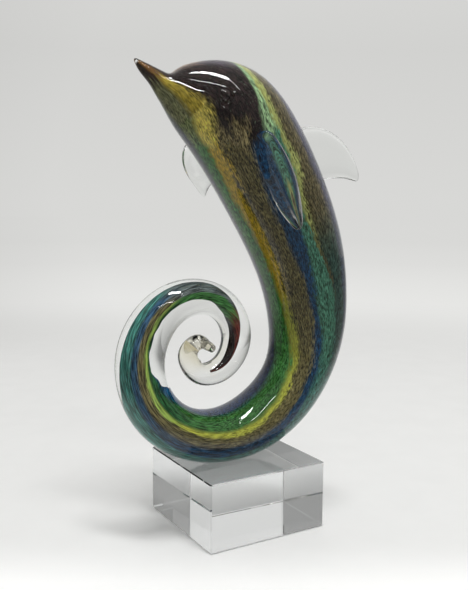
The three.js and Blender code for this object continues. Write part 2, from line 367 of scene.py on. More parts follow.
def fin_piece(fin, placed, skin_tree):
    """A fin of lens-shaped sections between its edges, which placed puts in metres in the scene.

    Its root may flare into the skin."""
    leading, trailing = (placed(np.array(fin[side], float)) for side in ("leading", "trailing"))
    thickness = fin["thickness"]
    fillet = fin.get("fillet", 0.0)
    root_end = fin.get("root_end", 0.0)
    turns = np.arange(FIN_SIDES) * 2 * np.pi / FIN_SIDES
    cosines, sines = np.cos(turns), np.sin(turns)
    wide = np.sign(cosines) * np.abs(cosines) ** fin["flatness"]
    high = np.sign(sines) * np.abs(sines) ** fin["flatness"]
    high *= 1 - fin.get("hollow", 0.0) * (1 - wide**2) ** 2
    rings = []
    for u in np.linspace(0, 1, FIN_STEPS):
        lead, trail = catmull_rom(leading, u), catmull_rom(trailing, u)
        before, after = (
            (catmull_rom(leading, v) + catmull_rom(trailing, v)) / 2
            for v in (max(0.0, u - FIN_REACH), min(1.0, u + FIN_REACH))
        )
        half = (lead - trail) / 2
        across = np.cross(half, after - before)
        full = np.interp(u * (len(thickness) - 1), range(len(thickness)), thickness) * PART
        over = max(0.0, (u - FIN_TIP_START) / (1 - FIN_TIP_START))
        if u < root_end:
            over = 1 - u / root_end
        swell = math.sqrt(max(0.0, 1 - over**2))
        across *= full * (END_THICKNESS + (1 - END_THICKNESS) * swell) / 2 / np.linalg.norm(across)
        half = half * (END_BREADTH + (1 - END_BREADTH) * swell)
        ring = (lead + trail) / 2 + wide[:, None] * half + high[:, None] * across
        if fillet:
            outward = cosines[:, None] * half / np.dot(half, half)
            outward = outward + sines[:, None] * across / np.dot(across, across)
            outward /= np.linalg.norm(outward, axis=1)[:, None]
            for k, point in enumerate(ring):
                room = min(max(fillet - height_over(skin_tree, point), 0.0), fillet)
                ring[k] = point + outward[k] * (fillet - math.sqrt(fillet**2 - room**2))
        rings.append(ring)
    return loft("fin", rings)


def height_over(tree, point):
    """How far a point is outside a closed mesh, or less than zero inside it."""
    place, normal, _, _ = tree.find_nearest(Vector(point))
    return (Vector(point) - place).dot(normal)


# The eye is a bead in a groove. It is placed in parts along the body and degrees round it
EYE = {
    "along": 19.8, "round": 94, "radius": 1.55, "sunk": 0.55,
    "groove_reach": 1.75, "groove_girth": 0.6, "groove_lift": 0.1,
}
EYE_RINGS = 40
EYE_SIDES = 56
GROOVE_SIDES = 20
# Marks pressed in the head, whose lower walls mirror the light above, as in the photo.
# The crease is a row of places on the near side, in parts along the body and degrees round it
CREASE = [
    (3.4, 84), (4.4, 80), (5.6, 81), (8.0, 82), (10.8, 91), (12.8, 95.5),
    (14.2, 97.5), (15.3, 96), (15.8, 92), (14.9, 88), (13.2, 86), (11.8, 87),
]
CREASE_STEPS = 90
CREASE_WIDTHS = (0.2, 0.5)
CREASE_FULLNESS = 0.7
EYE_MARK = {"reach": 2.45, "span": 75, "steps": 30, "widths": (0.05, 0.55), "fullness": 0.6}
# How many places on each strip a mark may mirror, its notch's least slope and reach off the skin,
# the lean of its upper wall, and how near it a face of it is
STRIP_SPOTS = 12
LEAST_SLOPE = 0.12
MARK_MARGIN = 0.15
UPPER_WALL_LEAN = 0.4
WALL_NEARNESS = 2e-6


def eye_piece(sign):
    """A glass bead pressed into the cheek."""
    middle = skin_points(EYE["along"], sign * EYE["round"], -EYE["sunk"])
    rise = np.radians(np.linspace(0, 180, EYE_RINGS + 1)[1:-1])[:, None]
    turn = np.radians(np.arange(EYE_SIDES) * 360 / EYE_SIDES)[None, :]
    rings = np.stack(
        [np.sin(rise) * np.cos(turn), np.sin(rise) * np.sin(turn), np.cos(rise) + 0 * turn], axis=-1
    )
    pole = np.array([0, 0, EYE["radius"] * PART])
    return loft("eye", middle + rings * EYE["radius"] * PART, (middle + pole, middle - pole))


def groove_piece(sign):
    """The groove pressed round the eye, as the solid ring that is cut away."""
    middle = skin_points(EYE["along"], sign * EYE["round"], 0.0)
    across = skin_points(EYE["along"] + 0.5, sign * EYE["round"], 0.0) - middle
    outward = skin_points(EYE["along"], sign * EYE["round"], 1.0) - middle
    across -= outward * np.dot(across, outward) / np.dot(outward, outward)
    across *= PART / np.linalg.norm(across)
    beside = np.cross(across, outward) / np.linalg.norm(outward)
    turn = np.radians(np.arange(EYE_SIDES) * 360 / EYE_SIDES)[:, None, None]
    rise = np.radians(np.arange(GROOVE_SIDES) * 360 / GROOVE_SIDES)[None, :, None]
    spoke = across * np.cos(turn) + beside * np.sin(turn)
    reach = EYE["groove_reach"] + EYE["groove_girth"] * np.cos(rise)
    lift = EYE["groove_lift"] + EYE["groove_girth"] * np.sin(rise)
    points = (middle + spoke * reach + outward * lift).reshape(-1, 3)
    starts = np.arange(EYE_SIDES) * GROOVE_SIDES
    ring = new_object("groove", points, faces_between(zip(starts, np.roll(starts, -1)), GROOVE_SIDES))
    face_outwards(ring)
    return ring


def strip_ways(place):
    """Directions from a place to points along the narrow light above."""
    ways = []
    chain = TOP_CHAIN + SIDE_CHAIN[1:]
    for start, end in zip(chain, chain[1:]):
        for u in np.linspace(0, 1, STRIP_SPOTS):
            way = Vector(start).lerp(Vector(end), u).normalized() * LIGHT_DISTANCE + LIGHT_TARGET
            ways.append((way - Vector(place)).normalized())
    return ways


def pressed_line(points, widths, tree, sign):
    """A narrow notch along points on the near side, as the solid that is cut away.

    Its lower wall is set so that it mirrors the light above to the camera. The far side has its
    mirror image."""
    found = [tree.find_nearest(Vector(point)) for point in points]
    rings = []
    last = len(found) - 1
    for i, (place, normal, _, _) in enumerate(found):
        ahead = (found[min(i + 1, last)][0] - found[max(i - 1, 0)][0]).normalized()
        toward = (Vector(CAMERA_EYE) - place).normalized()
        mirrors = [(way + toward).normalized() for way in strip_ways(place)]
        wall = min(mirrors, key=lambda way: abs(way.dot(ahead)))
        wall = (wall - ahead * wall.dot(ahead)).normalized()
        down = ahead.cross(wall)
        if down.dot(normal) < 0:
            down = -down
        slope = max(down.dot(normal), LEAST_SLOPE)
        side = (down - normal * down.dot(normal)).normalized()
        down = (normal * slope + side * math.sqrt(1 - slope**2)).normalized()
        width = widths[i] * PART
        depth = width * slope / math.sqrt(1 - slope**2)
        apex = place - normal * depth - side * width / 2
        low = apex + down * ((depth + MARK_MARGIN * PART) / slope)
        high = apex + normal * (depth + MARK_MARGIN * PART) - side * depth * UPPER_WALL_LEAN
        rings.append([apex, low, high])
    rings = np.array(rings)
    if sign < 0:
        rings[:, :, 1] = 2 * ORIGIN[1] - rings[:, :, 1]
    return loft("mark", rings)


def crease_mark(tree, sign):
    """The long loop pressed into the side of the beak."""
    rows = np.array(CREASE, float)
    steps = np.linspace(0, 1, CREASE_STEPS)
    points = [skin_points(*catmull_rom(rows, u)) for u in steps]
    least, most = CREASE_WIDTHS
    widths = least + (most - least) * np.sin(steps * np.pi) ** CREASE_FULLNESS
    return pressed_line(points, widths, tree, sign)


def eye_mark(tree, sign):
    """The crescent pressed at the eye's lower edge."""
    middle = skin_points(EYE["along"], EYE["round"], 0.0)
    place, normal, _, _ = tree.find_nearest(Vector(middle))
    toward = (Vector(CAMERA_EYE) - place).normalized()
    ways = strip_ways(place)
    wall = (ways[len(ways) // 2] + toward).normalized()
    below = -(wall - normal * wall.dot(normal)).normalized()
    beside = normal.cross(below)
    points = []
    for turn in np.radians(np.linspace(-EYE_MARK["span"], EYE_MARK["span"], EYE_MARK["steps"])):
        way = below * math.cos(turn) + beside * math.sin(turn)
        points.append(np.array(place + way * EYE_MARK["reach"] * PART))
    least, most = EYE_MARK["widths"]
    swell = np.cos(np.linspace(-np.pi / 2, np.pi / 2, len(points)))
    widths = least + (most - least) * swell ** EYE_MARK["fullness"]
    return pressed_line(points, widths, tree, sign)


def ground_piece():
    """What is cut away below the cement, so that the coil has a flat ground on the block."""
    half, top = FIGURE_HEIGHT / 2, BLOCK_TOP + CEMENT_GAP
    square = [(-half, -half), (half, -half), (half, half), (-half, half)]
    rings = [[(x, y, z) for x, y in square] for z in (top - half, top)]
    return loft("ground", rings)


def apply_modifiers(piece):
    """Gives the piece the mesh that its modifiers make, and takes them off."""
    graph = bpy.context.evaluated_depsgraph_get()
    mesh = bpy.data.meshes.new_from_object(piece.evaluated_get(graph))
    piece.modifiers.clear()
    old = piece.data
    piece.data = mesh
    bpy.data.meshes.remove(old)


def combine(base, other, operation):
    """Joins other to base, or cuts it away, and removes other."""
    modifier = base.modifiers.new("combine", "BOOLEAN")
    modifier.operation = operation
    modifier.solver = "MANIFOLD"
    modifier.object = other
    apply_modifiers(base)
    bpy.data.objects.remove(other)


MELT_VOXEL = 0.0003
MELT_SOFTNESS = 0.5
MELT_STEPS = 30
MELT_KEPT_FACES = 0.3


def melted(piece):
    """The piece with its seams run together, as glass does in the flame."""
    remesh = piece.modifiers.new("remesh", "REMESH")
    remesh.mode = "VOXEL"
    remesh.voxel_size = MELT_VOXEL
    soften = piece.modifiers.new("soften", "SMOOTH")
    soften.factor = MELT_SOFTNESS
    soften.iterations = MELT_STEPS
    thin = piece.modifiers.new("thin", "DECIMATE")
    thin.ratio = MELT_KEPT_FACES
    apply_modifiers(piece)
    return piece


SHARP_DEGREES = 40


def make_glass():
    """The whole figure in one closed mesh."""
    skin = make_skin()
    tree = BVHTree.FromObject(skin, bpy.context.evaluated_depsgraph_get())
    coil_middle = np.array([COIL_FORWARD, 0, COIL_HEIGHT])

    def from_base(rows):
        return rows * PART + ORIGIN

    def from_coil(rows):
        return from_base(rows + coil_middle)

    def from_skin(rows):
        return skin_points(*rows.T)

    flukes = [fin_piece(fin, from_coil, tree) for fin in (NEAR_FLUKE, FAR_FLUKE)]
    combine(*flukes, "UNION")
    added = [fin_piece(BACK_FIN, from_base, tree), melted(flukes[0])]
    added += [fin_piece(fin, from_skin, tree) for fin in (NEAR_FLIPPER, FAR_FLIPPER)]
    added += [eye_piece(1), eye_piece(-1)]
    for piece in added:
        combine(skin, piece, "UNION")
    marks = [piece for sign in (1, -1) for piece in (crease_mark(tree, sign), eye_mark(tree, sign))]
    graph = bpy.context.evaluated_depsgraph_get()
    walls = [BVHTree.FromObject(mark, graph) for mark in marks]
    for piece in [groove_piece(1), groove_piece(-1), ground_piece(), *marks]:
        combine(skin, piece, "DIFFERENCE")
    skin.data.shade_smooth()
    skin.data.set_sharp_from_angle(angle=math.radians(SHARP_DEGREES))
    for polygon in skin.data.polygons:
        if any(wall.find_nearest(polygon.center, WALL_NEARNESS)[0] for wall in walls):
            polygon.use_smooth = False
    return skin


# The core's sides, and until how far along the body it has which step
CORE_SIDES = 120
CORE_STEPS = [(30, 0.5), (110, 0.8), (BODY_LENGTH, 0.5)]
CORE_START = 0.7
CORE_END = along_of_turn(430)
# Over what length its girth is smoothed, and between which places that sets in
CORE_SMOOTHING = 1.2
SMOOTHING_START = (8, 14)
# Rows of how far along the body, the core's share of the body's girth, and how far it is moved
# towards the back, which is outwards on the coil
CORE_ROWS = [
    (0.7, 0.30, 0.0), (1.4, 0.62, 0.0), (3.0, 0.74, 0.0),
    (7.5, 0.82, 0.0), (12.4, 0.88, 0.0), (60.0, 0.88, 0.0),
    (along_of_turn(0), 0.86, 0.0),
    (along_of_turn(90), 0.84, 0.0),
    (along_of_turn(110), 0.78, 0.02),
    (along_of_turn(130), 0.60, 0.08),
    (along_of_turn(150), 0.45, 0.13),
    (along_of_turn(180), 0.373, 0.147),
    (along_of_turn(270), 0.30, 0.207),
    (along_of_turn(360), 0.207, -0.113),
    (along_of_turn(400), 0.15, -0.10),
    (along_of_turn(430), 0.03, -0.10),
]
# Lumps on the coil's inner side, with finer and lower ones on the whole core
LUMPS_FROM = along_of_turn(95)
LUMPS_GROW = 12
LUMP_HEIGHT = 0.07
LUMP_LENGTHWISE = 0.35
LUMP_ROUND = 1.6
FINE_LUMPS = 3
FINE_LUMP_SHARE = 0.06
# The bands were set out as they show at the skin, so they are followed inwards through the casing
# from this side, and the far side takes what is left of the turn
GLASS_INDEX = 1.5
SHOWN_FROM = (-0.51, -0.86, 0.1)
RAY_ANGLES = np.radians(np.linspace(-89, 89, 357))
# The grain follows the bands where they turn: by degrees before a place on the head, slanted towards
# the back, and by degrees per millimetre on the coil
HEAD_WARP = 54
HEAD_WARP_END = 125
HEAD_WARP_SPAN = 91.5
HEAD_WARP_POWER = 1.75
HEAD_SLANT = 0.41
HEAD_SLANT_MIDDLE = 70
COIL_TWIST = 0.4
COIL_TWIST_START = 190
COIL_TWIST_EASE = 12
# Where each coloured band starts, in degrees round the skin, at places along the body in millimetres.
# The bands are, from the back round the near side: rim, olive, yellow, teal, navy, brown, gold,
# green, slate
BAND_ROWS = [
    (0, -75, -66, -60, -30, 20, 64, 108, 190),
    (18, -75, -66, -60, -30, 25, 72, 112, 196),
    (25, -72, -63, -57, -20, 30, 98, 122, 195),
    (30, -68, -60, -54, -10, 35, 104, 127, 188),
    (40, -50, -40, -32, 0, 40, 111, 139, 176),
    (48, -10, 8, 22, 33, 50, 121, 149, 174),
    (52, 5, 30, 42, 52, 66, 127, 153, 174),
    (57, 20, 46, 56, 66, 80, 134, 156, 174),
    (62, 32, 57, 66, 75, 92, 138, 158, 175),
    (70, 43, 68, 75, 86, 104, 143, 161, 177),
    (78, 50, 75, 81, 96, 117, 146, 162, 179),
    (90, 58, 79, 85, 97, 122, 150, 163, 181),
    (107, 60, 80, 86, 99, 125, 152, 164, 184),
    (120, 61, 88, 93, 104, 127, 151, 163, 185),
    (133, 62, 93, 97, 109, 129, 151, 163, 186),
    (150, 62, 95, 98, 111, 127, 150, 162, 186),
    (165, 62, 89, 92, 111, 124, 150, 161, 186),
    (180, 62, 82, 83, 112, 122, 149, 160, 184),
    (200, 61, 79, 80, 108, 117, 146, 157, 182),
    (220, 60, 76, 77, 102, 111, 138, 148, 180),
    (240, 54, 69, 70, 95, 104, 128, 138, 171),
    (260, 45, 53, 54, 82, 97, 119, 126, 165),
    (280, 38, 43, 44, 67, 90, 110, 117, 159),
    (300, 32, 37, 38, 60, 83, 103, 112, 153),
    (320, 24, 29, 30, 52, 77, 101, 109, 150),
    (340, 18, 26, 27, 48, 72, 96, 103, 145),
    (360, 12, 24, 25, 48, 66, 85, 93, 118),
    (380, 8, 20, 21, 46, 61, 77, 84, 97),
    (400, 2, 16, 17, 42, 56, 68, 75, 86),
    (420, -4, 10, 11, 36, 52, 65, 71, 84),
    (440, -10, 4, 5, 30, 50, 66, 68, 92),
    (460, -10, 4, 5, 30, 50, 70, 72, 112),
    (480, -10, 4, 5, 30, 50, 92, 94, 118),
]
BAND_COUNT = len(BAND_ROWS[0])
# The far side isn't seen, so its bands come in the opposite order, in these shares of what is left
SLATE_WIDTH = 38
RIM_WIDTH = 26
FAR_SHARES = [0.06, 0.20, 0.28, 0.47, 0.60, 0.75, 0.79, 0.93, 1.0]


def core_rows(places):
    """The core's share and shift at each place, smoothed along the body."""
    rows = np.array(CORE_ROWS)
    share, shift = (np.interp(places, rows[:, 0], column) for column in rows.T[1:])
    weights = np.exp(-0.5 * ((places[:, None] - places[None, :]) / CORE_SMOOTHING) ** 2)
    weights /= weights.sum(axis=1)[:, None]
    start, end = SMOOTHING_START
    eased = np.clip((places - start) / (end - start), 0, 1)
    share = share * (1 - eased) + (weights @ share) * eased
    return share, weights @ shift


def shown_round(lean, share, shift, round_):
    """The degrees round the skin where each point round the core shows through the casing."""
    back = math.radians(lean)
    toward = SHOWN_FROM[0] * math.cos(back) + SHOWN_FROM[2] * math.sin(back)
    front = math.atan2(-SHOWN_FROM[1], toward)
    entry = np.stack([np.cos(RAY_ANGLES), np.sin(RAY_ANGLES)], axis=-1)
    bent = RAY_ANGLES - np.arcsin(np.sin(RAY_ANGLES) / GLASS_INDEX)
    inward = -np.stack([np.cos(bent), np.sin(bent)], axis=-1)
    gap = entry - shift * np.array([math.cos(front), -math.sin(front)])
    across = np.einsum("ij,ij->i", gap, inward)
    depth = across**2 - np.einsum("ij,ij->i", gap, gap) + share**2
    seen = depth > 0
    hit = gap[seen] + inward[seen] * (-across[seen] - np.sqrt(depth[seen]))[:, None]
    inner = np.degrees(np.unwrap(np.arctan2(hit[:, 1], hit[:, 0])))
    outer = np.degrees(RAY_ANGLES[seen])
    front = math.degrees(front)
    inner = np.concatenate([[outer[0] - 360 + inner[-1] - outer[-1]], inner, [inner[0] + 360]])
    outer = np.concatenate([[outer[-1] - 360], outer, [outer[0] + 360]])
    inner[0] = inner[-2] - 360
    turn = round_ - front
    whole = np.floor((turn - inner[1]) / 360)
    return front + np.interp(turn - whole * 360, inner, outer) + whole * 360


def grain_angle(millimetres, round_):
    """Degrees round the core for its grain, which turns along the body as the bands do."""
    side = np.abs((round_ + 180) % 360 - 180)
    slanted = millimetres + HEAD_SLANT * (side - HEAD_SLANT_MIDDLE)
    warp = HEAD_WARP * (np.clip(HEAD_WARP_END - slanted, 0, None) / HEAD_WARP_SPAN) ** HEAD_WARP_POWER
    past = (millimetres - COIL_TWIST_START) / COIL_TWIST_EASE
    return round_ + warp + COIL_TWIST * COIL_TWIST_EASE * np.logaddexp(0, past)


def band_places(millimetres, round_):
    """Which band each point is in, as a number whose whole part counts the bands from the rim, and
    how fast that number rises per degree."""
    rows = np.array(BAND_ROWS, float)
    counts = np.concatenate([np.arange(BAND_COUNT + 1), np.arange(BAND_COUNT - 1, -1, -1)])
    place = np.zeros_like(round_)
    rise = np.zeros_like(round_)
    for i, (at, angles) in enumerate(zip(millimetres, round_)):
        starts = [np.interp(at, rows[:, 0], column) for column in rows.T[1:]]
        near = [starts[0] - RIM_WIDTH, *starts, starts[-1] + SLATE_WIDTH]
        left = near[0] + 360 - near[-1]
        far = [near[-1] + left * share for share in FAR_SHARES]
        edges = np.array(near + far)
        turned = (angles - edges[0]) % 360 + edges[0]
        place[i] = np.interp(turned, edges, counts)
        slopes = np.diff(counts) / np.diff(edges)
        rise[i] = slopes[np.clip(np.searchsorted(edges, turned) - 1, 0, len(slopes) - 1)]
    return place, rise


def make_core():
    """The sealed colour, with its places as attributes for the material."""
    places = spaced([(CORE_START, CORE_START), *CORE_STEPS])[1:]
    places = places[places <= CORE_END]
    share, shift = core_rows(places)
    angles = np.arange(CORE_SIDES + 1) * 360 / CORE_SIDES
    lumps = np.zeros((len(places), CORE_SIDES))
    grown = np.clip((places - LUMPS_FROM) / LUMPS_GROW, 0, 1)
    inner_side = (1 - np.cos(np.radians(angles[:-1]))) / 2
    for i, place in enumerate(places):
        for k, angle in enumerate(np.radians(angles[:-1])):
            across, beside = math.cos(angle) * LUMP_ROUND, math.sin(angle) * LUMP_ROUND
            spot = Vector((place * LUMP_LENGTHWISE, across, beside))
            fine = noise.noise(spot * FINE_LUMPS) * FINE_LUMP_SHARE
            lumps[i, k] = noise.noise(spot) * grown[i] * inner_side[k] ** 2 + fine
    full = share[:, None] * (1 + 2 * LUMP_HEIGHT * lumps)
    rings = skin_points(places[:, None], angles[None, :-1], 0.0, full, shift[:, None])
    core = loft("colour_core", rings)
    millimetres = places * PART * 1000
    leans = body_at(places)[:, 2]
    round_ = np.array([shown_round(*row, angles) for row in zip(leans, share, shift)])
    along = np.repeat(millimetres[:, None], len(angles), axis=1)
    band, rise = band_places(millimetres, round_)
    grids = {
        "core_along": along,
        "grain_angle": grain_angle(along, round_),
        "band_place": band,
        "band_rise": rise,
    }
    write_places(core, grids)
    return core


def write_places(core, grids):
    """Stores grids of values on the mesh's corners, so that nothing jumps where the rings close."""
    mesh = core.data
    count, corners_round = grids["core_along"].shape
    sides = corners_round - 1
    values = {name: np.zeros(len(mesh.loops)) for name in grids}
    for polygon in mesh.polygons:
        corners = [mesh.loops[i].vertex_index for i in polygon.loop_indices]
        cells = [divmod(corner, sides) for corner in corners]
        wraps = {k for i, k in cells if i < count}
        for loop, (i, k) in zip(polygon.loop_indices, cells):
            if i >= count:
                i = 0 if i == count and k == 0 else count - 1
                k = max(wraps)
            elif k == 0 and sides - 1 in wraps:
                k = sides
            for name, grid in grids.items():
                values[name][loop] = grid[i, k]
    for name, array in values.items():
        attribute = mesh.attributes.new(name, "FLOAT", "CORNER")
        attribute.data.foreach_set("value", array)


class Nodes:
    """A node tree, with short calls for its nodes."""

    def __init__(self, tree):
        self.tree = tree
        self.tree.nodes.clear()

    def node(self, kind, inputs=None, **settings):
        made = self.tree.nodes.new("ShaderNode" + kind)
        for key, value in settings.items():
            setattr(made, key, value)
        for key, value in (inputs or {}).items():
            self.feed(made.inputs[key], value)
        return made

    def feed(self, socket, value):
        if isinstance(value, bpy.types.NodeSocket):
            self.tree.links.new(value, socket)
        else:
            socket.default_value = value

    def math(self, operation, a, b=0.0, c=0.0):
        return self.node("Math", {0: a, 1: b, 2: c}, operation=operation).outputs[0]

    def vector(self, operation, a, b=(0, 0, 0)):
        """Vector arithmetic, whose result may be a number."""
        made = self.node("VectorMath", {0: a, 1: b}, operation=operation)
        is_number = operation in ("LENGTH", "DISTANCE", "DOT_PRODUCT")
        return made.outputs["Value" if is_number else "Vector"]

    def step(self, value, low, high, top=1.0):
        """Rises smoothly from 0 at low to top at high."""
        inputs = {"Value": value, "From Min": low, "From Max": high, "To Max": top}
        return self.node("MapRange", inputs, interpolation_type="SMOOTHSTEP").outputs[0]

    def range(self, value, low, high):
        """Takes a value from 0 to 1 to a value from low to high."""
        inputs = {"Value": value, "To Min": low, "To Max": high}
        return self.node("MapRange", inputs).outputs[0]

    def room_light(self, way):
        """How bright the room is in a direction."""
        facing = self.vector("DOT_PRODUCT", way, ROOM_SIDE)
        return self.node("MapRange", {"Value": facing, **ROOM_FALL}).outputs[0]

    def noise(self, vector, scale, detail=2.0, roughness=0.5):
        inputs = {"Vector": vector, "Scale": scale, "Detail": detail, "Roughness": roughness}
        return self.node("TexNoise", inputs).outputs[0]

    def mix(self, amount, a, b, blend="MIX"):
        inputs = {0: amount, 6: a, 7: b}
        return self.node("Mix", inputs, data_type="RGBA", blend_type=blend).outputs[2]

    def ramp(self, value, stops):
        """Colours between stops, each of a position from 0 to 1 and a colour."""
        made = self.node("ValToRGB", {"Fac": value})
        elements = made.color_ramp.elements
        while len(elements) < len(stops):
            elements.new(0.5)
        for element, (position, colour) in zip(elements, stops):
            element.position = position
            element.color = colour
        return made.outputs[0]


class Shade(Nodes):
    """The nodes of a material of its own, round one shader."""

    def __init__(self, name):
        self.material = bpy.data.materials.new(name)
        self.material.use_nodes = True
        super().__init__(self.material.node_tree)
        self.shader = self.node("BsdfPrincipled")
        self.output = self.node("OutputMaterial", {"Surface": self.shader.outputs[0]})

    def set(self, **values):
        for key, value in values.items():
            self.feed(self.shader.inputs[key.replace("_", " ")], value)

    def place(self):
        return self.node("TexCoord").outputs["Object"]

    def attribute(self, name):
        return self.node("Attribute", attribute_name=name).outputs["Fac"]


def tint(red, green, blue):
    """A colour as it looks on a screen, from 0 to 255, in a shader's linear values."""
    def linear(value):
        value /= 255
        return value / 12.92 if value <= 0.04045 else ((value + 0.055) / 1.055) ** 2.4

    return (linear(red), linear(green), linear(blue), 1.0)


def grey(tone):
    """A barely warm grey, given as it looks on a screen."""
    return tint(tone, tone, tone - 2)


# The sealed colours, as they look on a screen
VIOLET = tint(58, 58, 84)
DARK_VIOLET = tint(56, 46, 62)
AUBERGINE = tint(36, 26, 26)
OLIVE = tint(84, 76, 50)
OLIVE_GREEN = tint(128, 130, 90)
YELLOW = tint(162, 168, 98)
PALE_GREEN = tint(134, 164, 122)
TEAL = tint(68, 118, 96)
DARK_TEAL = tint(62, 122, 112)
NAVY = tint(24, 64, 98)
STEEL = tint(44, 76, 102)
HEAD_BROWN = tint(146, 132, 90)
GREY_TEAL = tint(50, 74, 66)
BROWN = tint(102, 94, 60)
PALE_GOLD = tint(240, 222, 108)
GOLD = tint(212, 180, 58)
OCHRE = tint(172, 174, 68)
LIME = tint(156, 184, 86)
GREEN = tint(70, 134, 66)
LEAF = tint(50, 92, 46)
MOSS = tint(128, 140, 88)
STRAW = tint(188, 168, 66)
DEEP_GREEN = tint(30, 76, 40)
SLATE = tint(38, 52, 74)
INK = tint(28, 42, 72)
DARK_SLATE = tint(82, 90, 90)
RED_BROWN = tint(100, 42, 34)
AMBER = tint(112, 80, 44)
UMBER = tint(58, 44, 34)
# Along the body: where a set of colours starts, over how many millimetres it comes in, and the set,
# in the order of the bands
ZONES = [
    (0, 1, [UMBER, AMBER, AMBER, UMBER, AMBER, UMBER, AMBER, UMBER, DARK_SLATE]),
    (16, 6, [DARK_VIOLET, OLIVE, OLIVE, *[DARK_VIOLET] * 2, AUBERGINE, STRAW, OLIVE_GREEN, DARK_SLATE]),
    (46, 5, [VIOLET, OLIVE, YELLOW, PALE_GREEN, AUBERGINE, AUBERGINE, PALE_GOLD, MOSS, SLATE]),
    (74, 16, [VIOLET, OLIVE, YELLOW, PALE_GREEN, AUBERGINE, HEAD_BROWN, PALE_GOLD, GREEN, SLATE]),
    (82, 8, [VIOLET, OLIVE, YELLOW, TEAL, NAVY, BROWN, GOLD, GREEN, SLATE]),
    (150, 36, [SLATE, GREY_TEAL, OLIVE, TEAL, NAVY, BROWN, GOLD, GREEN, INK]),
    (186, 30, [SLATE, GREY_TEAL, GREY_TEAL, TEAL, NAVY, BROWN, OCHRE, GREEN, INK]),
    (240, 40, [*[DARK_TEAL] * 4, NAVY, BROWN, OCHRE, LEAF, INK]),
    (345, 20, [*[DARK_TEAL] * 4, STEEL, BROWN, LIME, DEEP_GREEN, NAVY]),
    (428, 14, [*[DARK_SLATE] * 6, GREEN, GREEN, DARK_SLATE]),
    (472, 14, [*[DARK_SLATE] * 3, *[RED_BROWN] * 5, AUBERGINE]),
]
BAND_EDGE = 0.14


def band_stops(colours):
    """Two stops of a colour ramp for each band, a little in from where it meets the next."""
    stops = []
    for i, colour in enumerate(colours):
        stops += [((i + BAND_EDGE) / BAND_COUNT, colour), ((i + 1 - BAND_EDGE) / BAND_COUNT, colour)]
    return stops


# Where the trunk turns into the coil, from where and by how much its grain is drawn out, and what is
# left there of the bands' raggedness and the grain's spacing
CURL = (250, 320)
CURL_MIDDLE = 260
CURL_STRETCH = 0.4
CURL_CALM = 0.4
CURL_GIRTH = 0.55
# Noises: how fine across the bands and along them, how detailed and how rough
WANDER = (2.2, 0.03, 2.0, 0.5)
TUFTS = (9, 0.07, 3.0, 0.6)
FUR = (58, 0.34, 2.0, 0.6)
SPECKS = (58, 0.8, 2.0, 0.6)
# How far they move the edges of the bands, in degrees, and of the zones, in millimetres
WANDER_DEGREES = (-6, 6)
TUFT_DEGREES = (-7, 7)
FUR_DEGREES = (-7, 7)
ZONE_RAGGEDNESS = (-14, 14)
# How light or dark they make the colour, and the darkest that it may become
FUR_LIGHT = (-3.4, 5.4)
TUFT_LIGHT = (0.7, 1.3)
GRAIN_FLOOR = 0.25
# Where the gold and yellow bands start and end, and how much of the grain they keep
GOLD_BAND = ((5.8, 6.1), (7.3, 7.0))
YELLOW_BAND = ((1.8, 2.1), (3.3, 3.0))
YELLOW_GRAIN = 0.4
# How much sooner the head's brown comes in beside the gold than the green, and over which bands and
# where along the body it does
HEAD_LEAN = 14
LEAN_BANDS = (5.0, 6.0)
LEAN_START = (38, 48)
LEAN_END = (105, 80)
# Where the amber on the front of the head starts and ends, and over which bands
AMBER_START = (12, 20)
AMBER_END = (36, 28)
AMBER_BANDS = (5.3, 4.6)
# Pale specks: the noise at which they show, how strongly, and their colour
SPECK_EDGE = (0.62, 0.72)
SPECK_SHARE = 0.4
SPECK_COLOUR = tint(140, 160, 134)


